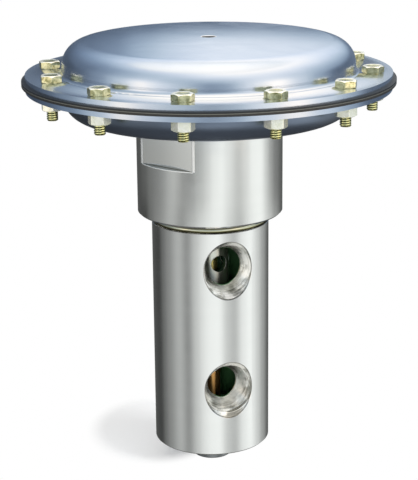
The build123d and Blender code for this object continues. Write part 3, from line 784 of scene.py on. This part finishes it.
# The heads' top rims get a paler, less metallic copy of the plating as a painted highlight.
painted_highlight_zinc = plated_finish("painted_highlight_zinc", (0.99, 0.97, 0.86), (0.96, 0.93, 0.78), 6 * mm, 0.9, 0.22, 0.70)
# Thread crests get a brighter copy of the plating as painted highlight, and the roots a near-black one as painted
# shadow.
highlit_thread_zinc = plated_finish("highlit_thread_zinc", (0.97, 0.93, 0.48), (0.88, 0.84, 0.38), 4 * mm, 0.9, 0.20)
shaded_thread_root = plated_finish("shaded_thread_root", (0.09, 0.08, 0.02), (0.06, 0.05, 0.01), 4 * mm, 0.9, 0.45)
across_flats = 11.11 * mm
corner_r = 0.35 * mm
head_height = 4.1 * mm
washer_face = 0.3 * mm
dished_top = (0.34, 0.1 * mm), (0.24, 0.35 * mm), (0.02, 0.42 * mm)
cut_slope = tan(radians(30))
shank_r = 3.175 * mm
bolt_pitch = 1.27 * mm
thread_depth = 0.62 * mm
thread_top = -8.0 * mm
shank_sides = 32
pan_sheet = 3.2 * mm
bolt_circle_r = 93.6 * mm
bolt_phase = 3.4
stack_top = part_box("upper_case")[0].z + pan_sheet
stack_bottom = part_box("case_nuts")[1].z
bolt_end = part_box("case_bolts")[0].z - stack_top


def hex_outline(across, round_r, side_points=6):
    """Outline of a hexagon with softened corners and a few points along each side."""
    middle = (across / 2 - round_r) / cos(radians(30))
    arcs = []
    for corner in range(6):
        at = radians(60 * corner + 30)
        arcs.append([(middle * cos(at) + round_r * cos(at + radians(swing)),
                      middle * sin(at) + round_r * sin(at + radians(swing))) for swing in (-30, -10, 10, 30)])
    line = []
    for arc, next_arc in zip(arcs, arcs[1:] + arcs[:1]):
        (from_x, from_y), (to_x, to_y) = arc[-1], next_arc[0]
        line += arc
        for k in range(1, side_points):
            share = k / side_points
            line.append((from_x + (to_x - from_x) * share, from_y + (to_y - from_y) * share))
    return line


def circle_like(outline, radius, z):
    """Circle with one point for each point of an outline."""
    return [(x / hypot(x, y) * radius, y / hypot(x, y) * radius, z) for x, y in outline]


def cut_back(outline, face_r, z, slope):
    """Edge where a cone cuts the corners of a hexagon back."""
    return [(x, y, z - slope * max(0.0, hypot(x, y) - face_r)) for x, y in outline]


def add_rings(points, faces, rings, count, capped=False):
    """Adds rings of points with the faces between them, and a cap at both ends if wanted."""
    base = len(points)
    for ring in rings:
        points.extend(ring)
    faces.extend(tuple(base + i for i in face) for face in sleeve(rings, count, closed=False))
    if capped:
        start = base + (len(rings) - 1) * count
        faces.append(tuple(base + k for k in reversed(range(count))))
        faces.append(tuple(start + k for k in range(count)))


def threaded_rings(major_r, depth, pitch, low, high, count, steps=8):
    """Rings of an outside thread between two heights, with a cone at its lower end."""
    flank_slope, root_width, point_depth = 3.2, 0.4, 0.75 * depth
    rings = []
    total = int(round((high - low) / pitch * steps))
    for i in range(total + 1):
        z = low + (high - low) * i / total
        ring = []
        for k in range(count):
            phase = ((z - low) / pitch - k / count) % 1.0
            crest = min(1.0, max(0.0, flank_slope * abs(2 * phase - 1) - root_width))
            r = min(major_r - depth * (1 - crest), major_r - point_depth + (z - low))
            ring.append((r * cos(2 * pi * k / count), r * sin(2 * pi * k / count), z))
        rings.append(ring)
    return rings


outline = hex_outline(across_flats, corner_r)
sides = len(outline)
face_r = 0.47 * across_flats
points, faces = [], []
head_rings = [
    circle_like(outline, face_r, 0.0),
    circle_like(outline, face_r, washer_face),
    [(x, y, washer_face) for x, y in outline],
    cut_back(outline, face_r, head_height, cut_slope),
    circle_like(outline, face_r, head_height),
]
head_rings += [circle_like(outline, share * across_flats, head_height - sunk) for share, sunk in dished_top]
add_rings(points, faces, head_rings, sides, capped=True)
head_faces = len(faces)
shank_rings = threaded_rings(shank_r, thread_depth, bolt_pitch, bolt_end, thread_top, shank_sides)
shank_top = [(shank_r * cos(2 * pi * k / shank_sides), shank_r * sin(2 * pi * k / shank_sides), 0.1 * mm)
             for k in range(shank_sides)]
add_rings(points, faces, shank_rings + [shank_top], shank_sides, capped=True)
plated, painted_highlight, crest, root = range(4)
bolt_kinds = []
for number, face in enumerate(faces):
    middle = sum((Vector(points[i]) for i in face), Vector()) / len(face)
    reach = hypot(middle.x, middle.y)
    if number < head_faces:
        on_rim = middle.z > head_height - 0.9 * mm and reach > 0.30 * across_flats
        bolt_kinds.append(painted_highlight if on_rim else plated)
    else:
        in_root = middle.z > bolt_end + 0.5 * mm and reach < shank_r - 0.27 * mm
        bolt_kinds.append(root if in_root else crest)


def on_flange(number, z, corner):
    """Place on the bolt circle where one corner of a hexagon lies at an angle right of the camera's line."""
    at = radians(bolt_phase + 30 * number - 90)
    x, y = bolt_circle_r * cos(at), bolt_circle_r * sin(at)
    eye = Matrix.Rotation(camera_turn, 3, "Z") @ Vector((0, -stand_off, 0))
    turned = atan2(eye.y - y, eye.x - x) + radians(corner - 30)
    return Matrix.Translation((x, y, z)) @ Matrix.Rotation(turned, 4, "Z")


# The heads at the front stand as they are seen, the others as they happened to stop.
front_bolts = {0: -33, 11: -20, 10: 17, 9: 6, 8: 10, 1: -7}
bolt_turns = (12, 41, 27, 3, 50, 18, 33, 8, 55, 22, 46, 37)
for number in range(12):
    spun = on_flange(number, stack_top, front_bolts.get(number, bolt_turns[number]))
    bolt = skin(f"casing_bolt_{number + 1:02d}", [spun @ Vector(p) for p in points], faces, yellow_zinc,
                "housing", 24)
    for finish in (painted_highlight_zinc, highlit_thread_zinc, shaded_thread_root):
        bolt.data.materials.append(finish)
    for polygon, kind in zip(bolt.data.polygons, bolt_kinds):
        polygon.material_index = kind
    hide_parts("case_bolts")


# Casing nuts
# Plain hexagon nuts of steel with a paler yellow plating, both faces cut back at the corners.
# They are screwed on the bolts from below, each turned as it came.
nut_zinc = plated_finish("nut_zinc", (0.98, 0.95, 0.84), (0.76, 0.76, 0.58), 5 * mm, 0.9, 0.22, 0.80)
nut_height = 6.7 * mm
nut_bore_r = shank_r + 0.05 * mm
points, faces = [], []
nut_rings = [
    circle_like(outline, nut_bore_r, 0.0),
    circle_like(outline, face_r, 0.0),
    [(x, y, -z) for x, y, z in cut_back(outline, face_r, 0.0, cut_slope)],
    cut_back(outline, face_r, nut_height, cut_slope),
    circle_like(outline, face_r, nut_height),
    circle_like(outline, nut_bore_r, nut_height),
]
add_rings(points, faces, nut_rings + [nut_rings[0]], sides)
front_nuts = {0: -21, 11: -24, 10: 15, 9: 4, 1: 16}
nut_turns = (44, 9, 30, 52, 20, 37, 5, 48, 15, 58, 26, 40)
for number in range(12):
    spun = on_flange(number, stack_bottom - nut_height, front_nuts.get(number, nut_turns[number]))
    nut = skin(f"casing_nut_{number + 1:02d}", [spun @ Vector(p) for p in points], faces, nut_zinc,
               "housing", 24)
    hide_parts("case_nuts")


# Seat cage
# A tube turned from bright steel stands over the seat and clamps it. The stem shows through its
# four cross holes, whose edges are rounded, and light runs along the tube in one stripe.
# A quarter turn of the grain draws each highlight out along the axis.
along_axis = {"grain": 1.0, "grain_turn": 0.25}
cage_steel = turned_finish("cage_steel", (1.0, 1.0, 0.90), (0.95, 0.95, 0.82), 0.30, 1.9,
                           metallic=0.96, **along_axis)
tree = cage_steel.node_tree
cage_bore_r = 10.3 * mm
cage_r = 10.7 * mm
hole_r = 5.1 * mm
hole_level = 123.3 * mm
holes_turn = 11
bead_r = 0.16 * mm
hole_points, bead_points = 64, 8
# Inside the tube the bore is painted a dark dull green as shade.
shaded_tube_bore = figure(tree, "LESS_THAN", places(tree)[0], cage_bore_r)
paint_zone(cage_steel, shaded_tube_bore, (0.022, 0.050, 0.026), 0.50, 0.0)
coat_node("seat_cage", cage_steel)
for number in range(4):
    facing = Matrix.Rotation(radians(holes_turn + 90 * number), 4, "Z")
    points = []
    for k in range(hole_points):
        turn = 2 * pi * k / hole_points
        across, up = hole_r * cos(turn), hole_r * sin(turn)
        on_edge = Vector((across, -(cage_r**2 - across**2) ** 0.5, up))
        outward = Vector((cos(turn), 0, sin(turn)))
        clear = Vector((on_edge.x, on_edge.y, 0)).normalized()
        for m in range(bead_points):
            swing = 2 * pi * m / bead_points
            spot = on_edge + bead_r * (cos(swing) * outward + sin(swing) * clear)
            points.append(facing @ spot + Vector((0, 0, hole_level)))
    faces = sleeve(range(hole_points), bead_points)
    rim = skin(f"cage_hole_rim_{number + 1}", points, faces, cage_steel, "housing", 60)


# Stem and valve plug
# Both are turned from brass bar and slide in bronze guides, so they stay bright. The stem screws
# into the plug and pushes it off the seat.
stem_brass = turned_finish("stem_brass", (0.84, 0.71, 0.27), (0.72, 0.59, 0.21), 0.28, 2.3,
                           metallic=0.97, **along_axis)
plug_brass = turned_finish("plug_brass", (1.0, 0.54, 0.19), (0.88, 0.47, 0.15), 0.30, 2.9,
                           metallic=0.97, **along_axis)
coat_node("stem", stem_brass)
coat_node("valve_plug", plug_brass)


# Diaphragm plates, washer and nut
# Plates pressed from steel sheet and plated clamp the middle of the rubber from both sides. A
# washer and a nut above hold them on the stem.
inner_zinc = plated_finish("inner_zinc", (0.70, 0.72, 0.74), (0.60, 0.62, 0.66), 20 * mm, 0.6, 0.30)
for node in ("lower_plate", "upper_plate", "stem_washer", "stem_nut"):
    coat_node(node, inner_zinc)


# Soft disc
# A disc of white plastic, cut from bar, lies in the plug's head under its retainer and meets the
# seat's lip.
disc_plastic, tree = blank_finish("disc_plastic", 0.0)
marks = use_effect(tree, handling, {"Size": 8 * mm, "Seed": 4.0})
sockets = shader_of(disc_plastic).inputs
shade = mixed(tree, marks["Smear"], (0.62, 0.60, 0.55, 1), (0.76, 0.75, 0.70, 1))
tree.links.new(shade, sockets["Base Color"])
tree.links.new(rising(tree, marks["Speck"], 0.3, 0.7, 0.38, 0.5), sockets["Roughness"])
coat_node("seat_disc", disc_plastic)


# Return spring
# Coiled from hard drawn steel wire, with its end coils closed. It stands on the bottom plug and
# pushes the washer on the plug's rod up.
spring_wire = plated_finish("spring_wire", (0.42, 0.42, 0.42), (0.30, 0.30, 0.31), 10 * mm, 0.6, 0.32)
low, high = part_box("return_spring")
wire_r = 0.9 * mm
mean_r = high.x - wire_r
coils, closed_coils = 6.0, 1.0
coil_points, wire_points = 28, 12
first_z, last_z = low.z + 0.5 * wire_r, high.z - 0.5 * wire_r
open_pitch = (last_z - first_z - 4 * closed_coils * wire_r) / (coils - 2 * closed_coils)
rows = []
for k in range(int(coils * coil_points) + 1):
    turns = k / coil_points
    opened = min(max(turns - closed_coils, 0.0), coils - 2 * closed_coils)
    z = first_z + 2 * wire_r * (turns - opened) + open_pitch * opened
    at = 2 * pi * turns
    row = []
    for m in range(wire_points):
        reach = mean_r + wire_r * cos(2 * pi * m / wire_points)
        spot_z = z + wire_r * sin(2 * pi * m / wire_points)
        row.append((reach * cos(at), reach * sin(at), min(max(spot_z, low.z), high.z)))
    rows.append(row)
points, faces = [], []
add_rings(points, faces, rows, wire_points, capped=True)
spring = skin("closing_spring", points, faces, spring_wire, "housing", 50)
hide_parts("return_spring")
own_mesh(spring)
